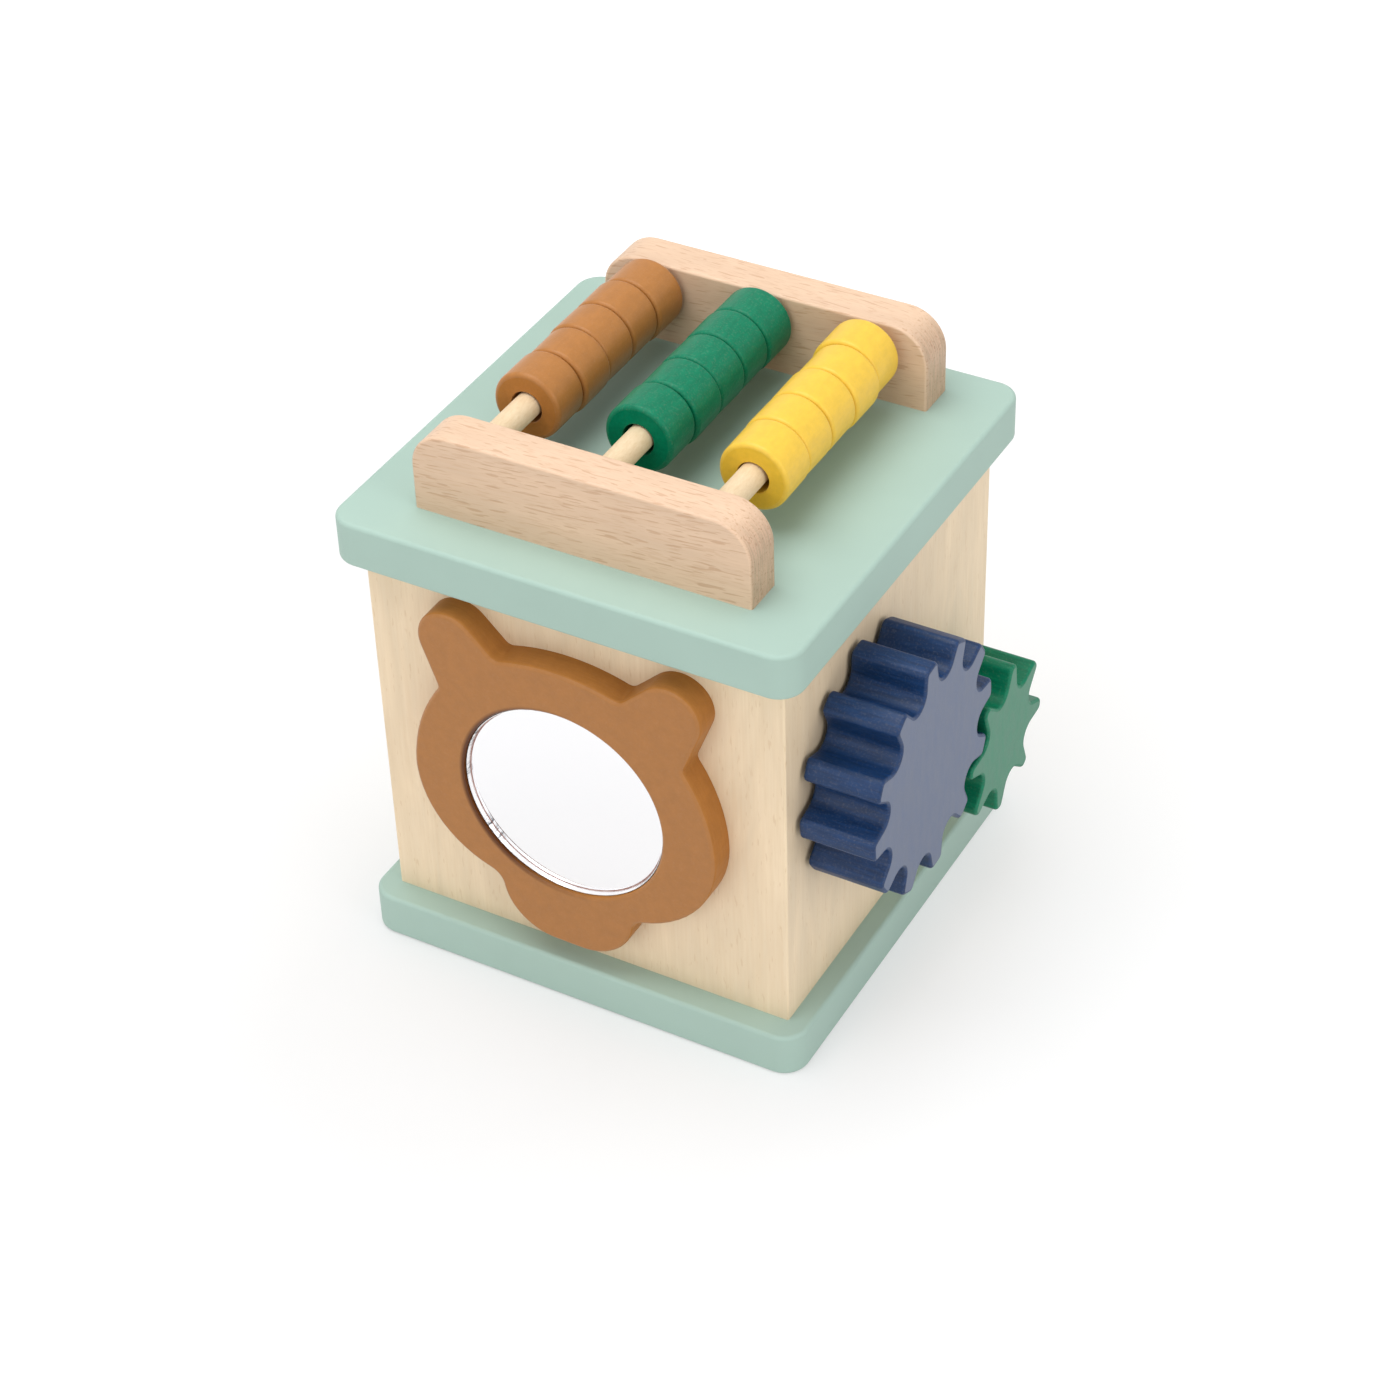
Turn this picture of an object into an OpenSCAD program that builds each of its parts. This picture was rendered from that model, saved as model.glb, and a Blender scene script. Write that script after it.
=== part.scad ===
// Wooden activity cube for a toddler: a birch body between two painted boards.
// The top carries bead rods, the front a mirror in a bear-head frame, the right side two meshed
// gears, the left side a sliding knob and the back a turning wheel.
// Origin: centre of the base board's underside. +Z up, mirror faces -Y, gears face +X.

/* [Boards] */
// Side of the square top and base boards
board_side = 150; // [144:1:180]
// Thickness of the top and base boards
board_t = 15; // [12:0.5:22]
// Radius of the boards' upright corners
board_corner_r = 8; // [4:0.5:12]
// Rounding of the boards' long edges
board_edge_r = 1.2; // [0.4:0.1:3]

/* [Body] */
// Width of the body, mirror side
body_w = 136.5; // [130:0.5:142]
// Depth of the body, gear side
body_d = 133.5; // [130:0.5:142]
// Height of the body between the boards
body_h = 127; // [120:1:150]
// Thickness of the mitred birch panels
panel_t = 9; // [7:0.5:12]
// Eased edge at the mitred corners
mitre_ease = 0.5; // [0.2:0.1:1.5]
// Side of the square posts inside the corners
post_side = 11; // [9:0.5:16]

/* [Brackets and rods] */
// Length of the two bead brackets
bracket_len = 109; // [100:1:130]
// Height of the brackets above the top board
bracket_h = 26.6; // [24:0.2:40]
// Thickness of the brackets
bracket_t = 13.7; // [11:0.1:18]
// Radius of the brackets' upper corners
bracket_end_r = 12; // [6:0.5:16]
// Eased edges of the brackets
bracket_ease = 0.8; // [0.3:0.1:2]
// Clear distance between the brackets
bracket_gap = 95; // [88:1:104]
// Distance of the rods' middle from the board's middle, to the back
bracket_shift = 2.4; // [-4:0.2:4]
// Diameter of the rods
rod_d = 8; // [6:0.5:9]
// Distance from rod to rod
rod_pitch = 37.1; // [30:0.1:40]
// Height of the rods above the top board
rod_rise = 18.7; // [16:0.1:22]
// Depth of a rod's seat in each bracket
rod_seat = 8; // [5:0.5:10]

/* [Beads] */
// Number of beads on each rod
beads_per_rod = 5; // [5:1:5]
// Diameter of a bead
bead_d = 22; // [20:0.1:26]
// Length of a bead
bead_len = 14.3; // [11:0.1:15]
// Diameter of the hole through a bead
bead_hole_d = 10; // [9.5:0.1:11]
// Rounding of the beads' rims
bead_rim_r = 1.1; // [0.5:0.1:3]
// Space between a rod and the bead that hangs on it
bead_hang = 0.35; // [0.3:0.05:0.5]
// Sideways play of the beads in a row
bead_sway = 0.25; // [0:0.05:0.3]
// Distance from the rear bracket to the beads at rest, left and middle row
row_rest = 1.5; // [0.2:0.1:4]
// Distance from the rear bracket to the beads at rest, right row
right_row_rest = 3.5; // [0.2:0.1:4]

/* [Mirror] */
// Tilt of the bear's head, to the right
head_tilt = 1; // [0:0.5:4]
// Thickness of the bear-head frame
frame_t = 9; // [8.5:0.5:14]
// Rounding of the frame's front edge
frame_edge_r = 1.4; // [0.4:0.1:2]
// Height of the mirror's middle above the floor
mirror_rise = 78.4; // [77:0.1:82]
// Distance of the mirror from the wall's middle, to the right
mirror_shift = -0.8; // [-3:0.1:3]
// Diameter of the mirror
mirror_d = 66.2; // [60:0.1:70]
// Thickness of the mirror
mirror_t = 3; // [2:0.5:4]
// Depth of the mirror's face below the frame's face
mirror_sink = 1.2; // [0.6:0.1:2]
// Rounding of the recess's edge round the mirror
recess_edge_r = 1.2; // [0.3:0.1:1.8]

/* [Gears] */
// Teeth of the large gear
large_teeth = 12; // [12:1:12]
// Teeth of the small gear
small_teeth = 8; // [8:1:8]
// Distance between the gear axles per tooth of the pair
tooth_pitch = 2.9; // [2.87:0.01:2.95]
// Height of a tooth tip above the pitch circle, large gear
large_tip = 4.3; // [3.6:0.1:4.4]
// Height of a tooth tip above the pitch circle, small gear
small_tip = 2.4; // [1.8:0.1:2.5]
// Depth of a tooth from tip to valley
tooth_depth = 8.8; // [8.2:0.1:9.2]
// Radius of the valleys between the teeth
valley_r = 4.7; // [4.4:0.1:4.9]
// Radius of the corners of a tooth
tooth_corner_r = 2; // [1.2:0.1:2.2]
// Lean of a tooth's flank, large gear
large_lean = 9; // [7:1:12]
// Lean of a tooth's flank, small gear
small_lean = 15; // [12:1:17]
// Thickness of the gears
gear_t = 24; // [16:0.5:26]
// Eased edge of the gears' faces
gear_ease = 1; // [0.4:0.1:1.5]
// Gap between the gears and the wall
gear_gap = 1.25; // [1:0.05:2]
// Place of the large gear's axle towards the back
large_gear_y = -22.5; // [-24:0.5:-21]
// Height of the large gear's axle above the floor
large_gear_z = 88.9; // [86:0.1:92]
// Direction from the large gear's axle to the small one's
mesh_angle = -27.2; // [-32:0.1:-20]
// Turn of the large gear at rest
large_turn = 4.4; // [0:0.1:8]
// Turn of the small gear back from the middle of its backlash
small_lag = 1.8; // [0:0.1:2]

/* [Axles] */
// Diameter of the axles of the gears and the wheel
axle_d = 12; // [10:0.5:14]
// Depth of an axle's seat in its gear or wheel
axle_seat = 8; // [6:0.5:9]
// Diameter of the washers behind the gears and the wheel
washer_d = 24; // [20:1:28]
// Diameter of the collars inside the body
collar_d = 20; // [18:0.5:24]
// Thickness of the collars
collar_t = 8; // [6:0.5:10]

/* [Sliding knob] */
// Distance of the knob's slot from the wall's front and back ends
slot_margin = 30.5; // [28:0.5:40]
// Height of the slot above the floor
slot_rise = 78.5; // [60:0.5:100]
// Diameter of the knob's stem
stem_d = 9.6; // [8:0.1:11]
// Diameter of the knob
knob_d = 32; // [26:1:38]
// Thickness of the knob
knob_t = 16; // [12:0.5:20]
// Diameter of the knob's collar inside the body
knob_collar_d = 20; // [16:0.5:22]
// Rounding of the knob's outer rim
knob_rim_r = 5; // [2:0.5:7]

/* [Turning wheel] */
// Number of scallops round the wheel
scallops = 8; // [6:1:12]
// Diameter of the wheel across its scallops
wheel_d = 84; // [70:1:96]
// Depth of the hollows between the scallops
scallop_depth = 5; // [3:0.5:7]
// Thickness of the wheel
wheel_t = 14; // [12:0.5:18]
// Height of the wheel's axle above the floor
wheel_rise = 78.5; // [66:0.5:90]

/* [Fasteners] */
// Diameter of the base screws' shanks
screw_d = 4; // [3:0.5:5]
// Length of the base screws
screw_len = 36; // [28:1:50]
// Diameter of the screw heads
screw_head_d = 8; // [7:0.5:10]
// Depth of the screw heads below the underside's face
screw_sink = 0.4; // [0.2:0.1:1]
// Diameter of the hidden glue dowels
dowel_d = 8; // [6:0.5:9]
// Depth of a glue dowel in each piece that it joins
dowel_seat = 10; // [7:0.5:11]

/* [Clearances] */
// Space round a turning axle in its wall
turn_fit = 0.06; // [0.03:0.01:0.1]
// Space at the end of a part that turns or slides against a wall
end_fit = 0.2; // [0.15:0.05:0.4]
// Space between neighbouring beads
bead_gap = 0.2; // [0.15:0.05:0.5]
// Space round the mirror in its recess
mirror_fit = 0.2; // [0.1:0.05:0.4]
// Space each side of the stem in its slot
slot_fit = 0.2; // [0.1:0.05:0.5]
// Space round the screws in the base board
screw_fit = 0.2; // [0.1:0.05:0.5]

/* [Hidden] */
$fn = 64;
mint = "#BFDBD0";
birch = "#EAD6B4";
beech = "#E3C5A3";
brown = "#B07B4F";
green = "#1F8A64";
yellow = "#FFDA62";
navy = "#2A4878";
pale = "#F6E3BC";
steel = "#B9BCC0";
silver = "#E8ECEE";

row_names = ["brown", "green", "yellow"];
row_colours = [brown, green, yellow];
row_rests = [row_rest, row_rest, right_row_rest];
bead_names = [for (row = row_names, i = [1:beads_per_rod]) str("bead_", row, "_", i)];

// Heights and faces
top_z = board_t + body_h;
deck_z = top_z + board_t;
front_y = -body_d / 2;
back_y = body_d / 2;
right_x = body_w / 2;
post_x = right_x - panel_t - post_side / 2;
post_y = back_y - panel_t - post_side / 2;

// Brackets and beads
front_face_y = bracket_shift - bracket_gap / 2;
rear_face_y = bracket_shift + bracket_gap / 2;
rod_z = deck_z + rod_rise;
bead_z = rod_z - (bead_hole_d - rod_d) / 2 + bead_hang;
bracket_dowel_x = bracket_len / 2 - rod_pitch / 2;

// Bear head: radii and places of its rounds, from the middle of the mirror
cheek_r = 34.5;
cheek_x = 16.2;
cheek_z = -2.4;
side_r = 56;
side_x = -5.3;
side_z = -3.8;
temple_z = 27.5;
crown_r = 66;
crown_top = 49;
crown_half = 20;
ear_r = 10.4;
ear_x = 36;
ear_z = 46.3;
ear_root_r = 14;
ear_root_x = 27;
ear_root_z = 32.7;
chin_r = 17.8;
chin_x = 4.6;
chin_z = -37.1;
ear_crease_r = 3;
chin_crease_r = 6;

// Gears and what turns with them
large_pitch_r = large_teeth * tooth_pitch;
small_pitch_r = small_teeth * tooth_pitch;
axle_gap = large_pitch_r + small_pitch_r;
large_place = [right_x, large_gear_y, large_gear_z];
small_place = large_place + axle_gap * [0, cos(mesh_angle), sin(mesh_angle)];
// A valley of the small gear faces a tooth of the large one, whatever turn the large gear has
small_turn = 180 + mesh_angle + 180 / small_teeth
    - (large_turn - mesh_angle) * large_teeth / small_teeth - small_lag;
wheel_place = [0, back_y, wheel_rise];
axle_back = panel_t + end_fit + collar_t;

// Sliding knob
slot_w = stem_d + 2 * slot_fit;
slot_len = body_d - 2 * slot_margin;
knob_travel = slot_len - stem_d - 2 * slot_fit - 2 * end_fit;
knob_place = [-right_x, knob_travel / 2, slot_rise];

// Points of an arc round a centre
function arc(centre, r, from, to, steps) =
    [for (i = [0:steps]) let (a = from + (to - from) * i / steps) centre + r * [cos(a), sin(a)]];

// Half the outline of a tooth that points along +X, from its middle to the next valley's middle:
// the tip, a rounded corner, a leaning flank and a round valley that all run into each other
function half_tooth(teeth, tip_r, root_r, lean) =
    let (
        half = 180 / teeth,
        flank = [cos(lean), -sin(lean)],
        inward = [-sin(lean), -cos(lean)],
        valley = (root_r + valley_r) * [cos(half), sin(half)],
        start = valley + (valley_r + tooth_corner_r) * inward,
        along = -start * flank
            + sqrt(pow(start * flank, 2) - start * start + pow(tip_r - tooth_corner_r, 2)),
        corner = start + along * flank,
        tip_angle = atan2(corner.y, corner.x)
    )
    concat(
        [[tip_r, 0]],
        arc(corner, tooth_corner_r, tip_angle, 90 - lean, 5),
        arc(valley, valley_r, 270 - lean, 180 + half, 7)
    );

// Mirror image of a list of points across the X axis, in backward order
function mirrored(points) = [for (i = [len(points) - 1:-1:1]) [points[i].x, -points[i].y]];

function turned(points, a) =
    [for (p = points) [p.x * cos(a) - p.y * sin(a), p.x * sin(a) + p.y * cos(a)]];

// Toothed outline about the origin; the last point of each tooth is the first of the next
module gear_outline(teeth, tip_r, lean) {
    half = half_tooth(teeth, tip_r, tip_r - tooth_depth, lean);
    tooth = concat(mirrored(half), half);
    points = [
        for (i = [0:teeth - 1])
            let (whole = turned(tooth, 360 * i / teeth))
                for (k = [0:len(whole) - 2]) whole[k]
    ];
    polygon(points);
}

// Extrusion with eased edges at both ends; reach is the outline's largest radius
module eased_extrude(height, ease, reach) {
    shrink = 1 - ease / reach;
    translate([0, 0, ease]) linear_extrude(height = height - 2 * ease) children();
    translate([0, 0, height - ease]) linear_extrude(height = ease, scale = shrink) children();
    translate([0, 0, ease]) mirror([0, 0, 1]) linear_extrude(height = ease, scale = shrink) children();
}

// Lays a part that was drawn standing on the floor against a wall, its top pointing out
module on_right_wall(place) translate(place) rotate([0, 90, 0]) rotate([0, 0, 90]) children();
module on_back_wall(place) translate(place) rotate([-90, 0, 0]) children();
module on_left_wall(place) translate(place) rotate([0, -90, 0]) children();

// Square board with round corners and rounded edges, from the height low upwards
module board(low) {
    side = board_side / 2 - board_corner_r;
    hull() for (x = [-side, side], y = [-side, side])
        translate([x, y, low]) rotate_extrude($fn = 48) {
            square([board_corner_r - board_edge_r, board_t]);
            for (z = [board_edge_r, board_t - board_edge_r])
                translate([board_corner_r - board_edge_r, z]) circle(board_edge_r, $fn = 24);
        }
}

// Places of the four inner corner posts
module at_posts() for (x = [-post_x, post_x], y = [-post_y, post_y]) translate([x, y, 0]) children();

module base_board() {
    color(mint) difference() {
        board(0);
        at_posts() {
            translate([0, 0, -1]) cylinder(h = board_t + 2, d = screw_d + 2 * screw_fit);
            cylinder(h = screw_head_d / 2, d1 = screw_head_d, d2 = 0);
        }
    }
}

module top_board() {
    color(mint) difference() {
        board(top_z);
        at_posts() translate([0, 0, top_z - 1]) cylinder(h = dowel_seat + 1, d = dowel_d);
        at_bracket_dowels() cylinder(h = dowel_seat + 1, d = dowel_d);
    }
}

// Board of a mitred box: outer length along X, its outer face at Y = 0 and its inside towards +Y
module mitred_panel(length) {
    end = length / 2;
    translate([0, 0, board_t]) linear_extrude(height = body_h) polygon([
        [-end + mitre_ease, 0], [end - mitre_ease, 0],
        [end - mitre_ease / 2, mitre_ease / 2], [end - panel_t, panel_t],
        [-end + panel_t, panel_t], [-end + mitre_ease / 2, mitre_ease / 2]
    ]);
}

module front_panel() {
    color(birch) translate([0, front_y, 0]) mitred_panel(body_w);
}

module right_panel() {
    color(birch) difference() {
        translate([right_x, 0, 0]) rotate(90) mitred_panel(body_d);
        for (place = [large_place, small_place]) on_right_wall(place) axle_hole();
    }
}

module back_panel() {
    color(birch) difference() {
        translate([0, back_y, 0]) rotate(180) mitred_panel(body_w);
        on_back_wall(wheel_place) axle_hole();
    }
}

module left_panel() {
    color(birch) difference() {
        translate([-right_x, 0, 0]) rotate(-90) mitred_panel(body_d);
        on_left_wall([-right_x, 0, slot_rise]) {
            for (s = [-1, 1]) translate([0, s * (slot_len - slot_w) / 2, -panel_t - 1])
                cylinder(h = panel_t + 2, d = slot_w);
            translate([-slot_w / 2, -(slot_len - slot_w) / 2, -panel_t - 1])
                cube([slot_w, slot_len - slot_w, panel_t + 2]);
        }
    }
}

module axle_hole() translate([0, 0, -panel_t - 1])
    cylinder(h = panel_t + 2, d = axle_d + 2 * turn_fit);

module corner_posts() {
    color(pale) difference() {
        at_posts() translate([-post_side / 2, -post_side / 2, board_t])
            cube([post_side, post_side, body_h]);
        at_posts() translate([0, 0, board_t - 1])
            cylinder(h = screw_len - board_t + 1, d = screw_d);
        at_posts() translate([0, 0, top_z - dowel_seat])
            cylinder(h = dowel_seat + 1, d = dowel_d);
    }
}

module base_screws() {
    head_d = screw_head_d - 2 * screw_sink;
    color(steel) at_posts() translate([0, 0, screw_sink]) {
        cylinder(h = screw_len - screw_sink, d = screw_d);
        cylinder(h = (head_d - screw_d) / 2, d1 = head_d, d2 = screw_d);
    }
}

module top_dowels() {
    color(pale) at_posts() translate([0, 0, top_z - dowel_seat])
        cylinder(h = 2 * dowel_seat, d = dowel_d);
}

// Places of the dowels under the brackets, at the top of the deck less one seat
module at_bracket_dowels() for (x = [-bracket_dowel_x, bracket_dowel_x],
    y = [front_face_y - bracket_t / 2, rear_face_y + bracket_t / 2])
    translate([x, y, deck_z - dowel_seat]) children();

module bracket_dowels() {
    color(pale) at_bracket_dowels() cylinder(h = 2 * dowel_seat, d = dowel_d);
}

// Outline of a bracket standing on the deck, its edges drawn in by an amount
module bracket_outline(inset) {
    corner = bracket_len / 2 - bracket_end_r;
    for (x = [-corner, corner])
        translate([x, bracket_h - bracket_end_r]) circle(bracket_end_r - inset, $fn = 48);
    translate([-bracket_len / 2 + inset, 0]) square([bracket_len - 2 * inset, 1]);
}

// Block with two round upper corners and eased edges, from its low face y to y + bracket_t
module bracket(y) {
    color(beech) difference() {
        translate([0, y + bracket_t, deck_z]) rotate([90, 0, 0]) hull() {
            linear_extrude(height = bracket_t) bracket_outline(bracket_ease);
            translate([0, 0, bracket_ease])
                linear_extrude(height = bracket_t - 2 * bracket_ease) bracket_outline(0);
        }
        for (row = [0:2]) rod(row);
        at_bracket_dowels() cylinder(h = 2 * dowel_seat, d = dowel_d);
    }
}

module front_bracket() bracket(front_face_y - bracket_t);
module rear_bracket() bracket(rear_face_y);

module rod(row) {
    color(pale) translate([(row - 1) * rod_pitch, rear_face_y + rod_seat, rod_z])
        rotate([90, 0, 0]) cylinder(h = bracket_gap + 2 * rod_seat, d = rod_d);
}

// Beads are counted from the front; the row stands near the rear bracket
module bead(row, i) {
    rear = rear_face_y - row_rests[row] - (beads_per_rod - i) * (bead_len + bead_gap);
    sway = bead_sway * sin(100 * i + 70 * row);
    color(row_colours[row]) translate([(row - 1) * rod_pitch + sway, rear, bead_z])
        rotate([90, 0, 0]) rotate_extrude() {
            hole_r = bead_hole_d / 2;
            translate([hole_r, 0]) square([bead_d / 2 - bead_rim_r - hole_r, bead_len]);
            translate([hole_r, bead_rim_r]) square([bead_d / 2 - hole_r, bead_len - 2 * bead_rim_r]);
            for (y = [bead_rim_r, bead_len - bead_rim_r])
                translate([bead_d / 2 - bead_rim_r, y]) circle(bead_rim_r);
        }
}

// Shapes with their inner creases rounded
module creased(r) offset(r = -r) offset(r = r) children();

// Outline of the bear's head about the middle of the mirror
module head_outline() {
    rotate(-head_tilt) creased(ear_crease_r) {
        creased(chin_crease_r) {
            hull() {
                for (s = [-1, 1]) translate([s * cheek_x, cheek_z]) circle(cheek_r);
                intersection() {
                    intersection_for (s = [-1, 1]) translate([s * side_x, side_z]) circle(side_r, $fn = 180);
                    translate([-side_r, side_z]) square([2 * side_r, temple_z - side_z]);
                }
                intersection() {
                    translate([0, crown_top - crown_r]) circle(crown_r, $fn = 180);
                    translate([-crown_half, 0]) square([2 * crown_half, crown_top]);
                }
            }
            hull() for (s = [-1, 1]) translate([s * chin_x, chin_z]) circle(chin_r);
        }
        for (s = [-1, 1]) hull() {
            translate([s * ear_x, ear_z]) circle(ear_r);
            translate([s * ear_root_x, ear_root_z]) circle(ear_root_r);
        }
    }
}

module on_front_wall() translate([mirror_shift, front_y, mirror_rise])
    rotate([90, 0, 0]) children();

module mirror_frame() {
    shrink = 1 - frame_edge_r / (cheek_x + cheek_r);
    depth = mirror_sink + mirror_t;
    recess_r = mirror_d / 2 + mirror_fit;
    round_r = recess_r + recess_edge_r;
    hair = 0.0001;
    color(brown) on_front_wall() difference() {
        union() {
            linear_extrude(height = frame_t - frame_edge_r) head_outline();
            translate([0, 0, frame_t - frame_edge_r])
                linear_extrude(height = frame_edge_r, scale = shrink) head_outline();
        }
        // The rounding ends a hair above the frame's face, so that it always runs through it
        translate([0, 0, frame_t - depth]) rotate_extrude($fn = 96) polygon(concat(
            [[0, 0], [recess_r, 0]],
            arc([round_r, depth - recess_edge_r + hair], recess_edge_r, 180, 90, 6),
            [[round_r, depth + 1], [0, depth + 1]]
        ));
    }
}

module mirror_disc() {
    bevel = mirror_t / 3;
    color(silver) on_front_wall() translate([0, 0, frame_t - mirror_sink - mirror_t])
        rotate_extrude($fn = 96) polygon([
            [0, 0], [mirror_d / 2, 0], [mirror_d / 2, mirror_t - bevel],
            [mirror_d / 2 - bevel, mirror_t], [0, mirror_t]
        ]);
}

// Gear on its wall, its back face one gap away and the axle's seat in its back
module gear(place, turn, teeth, tip_r, lean) {
    on_right_wall(place) translate([0, 0, gear_gap]) difference() {
        rotate(turn) eased_extrude(gear_t, gear_ease, tip_r) gear_outline(teeth, tip_r, lean);
        translate([0, 0, -1]) cylinder(h = axle_seat + 1, d = axle_d);
    }
}

module large_gear() {
    color(navy) gear(large_place, large_turn, large_teeth, large_pitch_r + large_tip, large_lean);
}

module small_gear() {
    color(green) gear(small_place, small_turn, small_teeth, small_pitch_r + small_tip, small_lean);
}

// Axle from its collar inside the body to its seat in the gear or wheel
module axle() color(pale) translate([0, 0, -axle_back])
    cylinder(h = axle_back + gear_gap + axle_seat, d = axle_d);

// Washer between the wall and the gear or wheel, tight against the latter
module washer() color(pale) translate([0, 0, end_fit]) difference() {
    cylinder(h = gear_gap - end_fit, d = washer_d);
    translate([0, 0, -1]) cylinder(h = gear_gap + 1, d = axle_d);
}

// Collar glued on the axle inside the body, which keeps it in its hole
module collar(d, hole_d) color(pale) translate([0, 0, -axle_back]) difference() {
    cylinder(h = collar_t, d = d);
    translate([0, 0, -1]) cylinder(h = collar_t + 2, d = hole_d);
}

module large_gear_axle() on_right_wall(large_place) axle();
module large_gear_washer() on_right_wall(large_place) washer();
module large_gear_collar() on_right_wall(large_place) collar(collar_d, axle_d);
module small_gear_axle() on_right_wall(small_place) axle();
module small_gear_washer() on_right_wall(small_place) washer();
module small_gear_collar() on_right_wall(small_place) collar(collar_d, axle_d);

// Disc with eased rims, hollows cut round it with narrower eased edges of their own
module turning_wheel() {
    r = wheel_d / 2;
    hollow_r = scallop_depth + 2;
    ease = 0.7 * gear_ease;
    color(yellow) on_back_wall(wheel_place) translate([0, 0, gear_gap]) difference() {
        rotate_extrude($fn = 128) polygon([
            [0, 0], [r - gear_ease, 0], [r, gear_ease],
            [r, wheel_t - gear_ease], [r - gear_ease, wheel_t], [0, wheel_t]
        ]);
        for (i = [0:scallops - 1]) rotate(360 * i / scallops)
            translate([r + hollow_r - scallop_depth, 0, 0]) rotate_extrude() polygon([
                [0, -1], [hollow_r + ease + 1, -1], [hollow_r, ease],
                [hollow_r, wheel_t - ease], [hollow_r + ease + 1, wheel_t + 1], [0, wheel_t + 1]
            ]);
        translate([0, 0, -1]) cylinder(h = axle_seat + 1, d = axle_d);
    }
}

module wheel_axle() on_back_wall(wheel_place) axle();
module wheel_washer() on_back_wall(wheel_place) washer();
module wheel_collar() on_back_wall(wheel_place) collar(collar_d, axle_d);

// Turned knob with a domed rim; it stands one gap off the wall on its stem
module sliding_knob() {
    color(navy) on_left_wall(knob_place) translate([0, 0, end_fit]) difference() {
        rotate_extrude() {
            square([knob_d / 2 - knob_rim_r, knob_t]);
            square([knob_d / 2, knob_t - knob_rim_r]);
            translate([knob_d / 2 - knob_rim_r, knob_t - knob_rim_r]) circle(knob_rim_r);
        }
        translate([0, 0, -1]) cylinder(h = axle_seat + 1, d = stem_d);
    }
}

module knob_stem() {
    color(pale) on_left_wall(knob_place) translate([0, 0, -axle_back])
        cylinder(h = axle_back + end_fit + axle_seat, d = stem_d);
}

module knob_collar() on_left_wall(knob_place) collar(knob_collar_d, stem_d);

base_board();
top_board();
front_panel();
right_panel();
back_panel();
left_panel();
corner_posts();
base_screws();
top_dowels();
front_bracket();
rear_bracket();
bracket_dowels();
rod(0);  // rod_left
rod(1);  // rod_middle
rod(2);  // rod_right
for (row = [0:2], i = [1:beads_per_rod])
    bead(row, i);
mirror_frame();
mirror_disc();
large_gear();
large_gear_axle();
large_gear_washer();
large_gear_collar();
small_gear();
small_gear_axle();
small_gear_washer();
small_gear_collar();
sliding_knob();
knob_stem();
knob_collar();
turning_wheel();
wheel_axle();
wheel_washer();
wheel_collar();
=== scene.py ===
import math

import bmesh
import bpy
from bpy.props import FloatProperty, FloatVectorProperty, IntProperty, PointerProperty
from bpy.types import Operator, Panel, PropertyGroup
from mathutils import Euler, Matrix, Vector


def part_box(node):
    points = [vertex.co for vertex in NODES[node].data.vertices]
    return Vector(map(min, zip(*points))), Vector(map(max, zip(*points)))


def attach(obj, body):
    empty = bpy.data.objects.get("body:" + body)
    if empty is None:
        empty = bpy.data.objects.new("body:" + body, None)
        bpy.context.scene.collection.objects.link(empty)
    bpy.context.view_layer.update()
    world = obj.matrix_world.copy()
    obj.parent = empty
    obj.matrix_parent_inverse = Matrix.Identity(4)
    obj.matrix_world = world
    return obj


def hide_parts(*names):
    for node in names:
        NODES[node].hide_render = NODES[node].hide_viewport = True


bl_info = {
    "name": "Activity cube",
    "version": (1, 0, 0),
    "blender": (4, 5, 0),
    "location": "View3D > Sidebar > Activity cube",
    "description": "Dresses a wooden toddler activity cube: boards, beads, mirror, gears and knob",
    "category": "Object",
}

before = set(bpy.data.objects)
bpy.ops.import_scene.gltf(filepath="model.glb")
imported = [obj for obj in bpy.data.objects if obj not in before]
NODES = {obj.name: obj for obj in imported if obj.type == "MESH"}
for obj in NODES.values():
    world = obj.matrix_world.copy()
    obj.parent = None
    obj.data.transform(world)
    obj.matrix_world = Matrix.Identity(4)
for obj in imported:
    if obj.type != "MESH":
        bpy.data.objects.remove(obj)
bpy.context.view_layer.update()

# The rows of beads and the record's slot of each
ROWS = {"brown": "brown_paint", "green": "green_paint", "yellow": "yellow_paint"}
BEADS_IN_ROW = 5
# How loose beads hang on their rod, one after the other: pitch and yaw in degrees, and how far
# they have slipped to one side and up, in metres
HANGS = (
    (0.4, -0.5, 0.0003, 0.0),
    (-0.4, 0.4, -0.0005, 0.0002),
    (0.45, 0.45, 0.0005, 0.0002),
    (-0.3, -0.45, -0.0001, 0.0),
    (0.4, 0.3, -0.0004, 0.0001),
)

# Points closer than this are one point, and a point closer than this to a face lies on it
MERGE = 1e-6
ON_FACE = 1e-5
# How much of an edge's direction, or of a flat face's normal, has to lie along an axis
ALONG = 0.9
FLAT = 0.99
# Bend in radians that makes a real edge, on plain blocks and on outlines with faceted curves
BLOCK_BEND = 0.6
CURVE_BEND = 0.9
# Bend up to which a surface is shaded smooth
SMOOTH_BEND = math.radians(35)


def linear(code):
    """An sRGB hex colour as linear red, green and blue."""
    parts = [int(code[i:i + 2], 16) / 255 for i in (1, 3, 5)]
    return tuple(c / 12.92 if c <= 0.04045 else ((c + 0.055) / 1.055) ** 2.4 for c in parts)


# ---------------------------------------------------------------- sizes and colours


def length(name, default, description):
    """A length in metres that a user may change."""
    return FloatProperty(
        name=name, description=description, default=default, min=0.0,
        subtype="DISTANCE", unit="LENGTH",
    )


def colour(name, code, description):
    """A colour that a user may change, from its sRGB hex value."""
    return FloatVectorProperty(
        name=name, description=description, default=linear(code), size=3, min=0.0, max=1.0,
        subtype="COLOR",
    )


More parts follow.
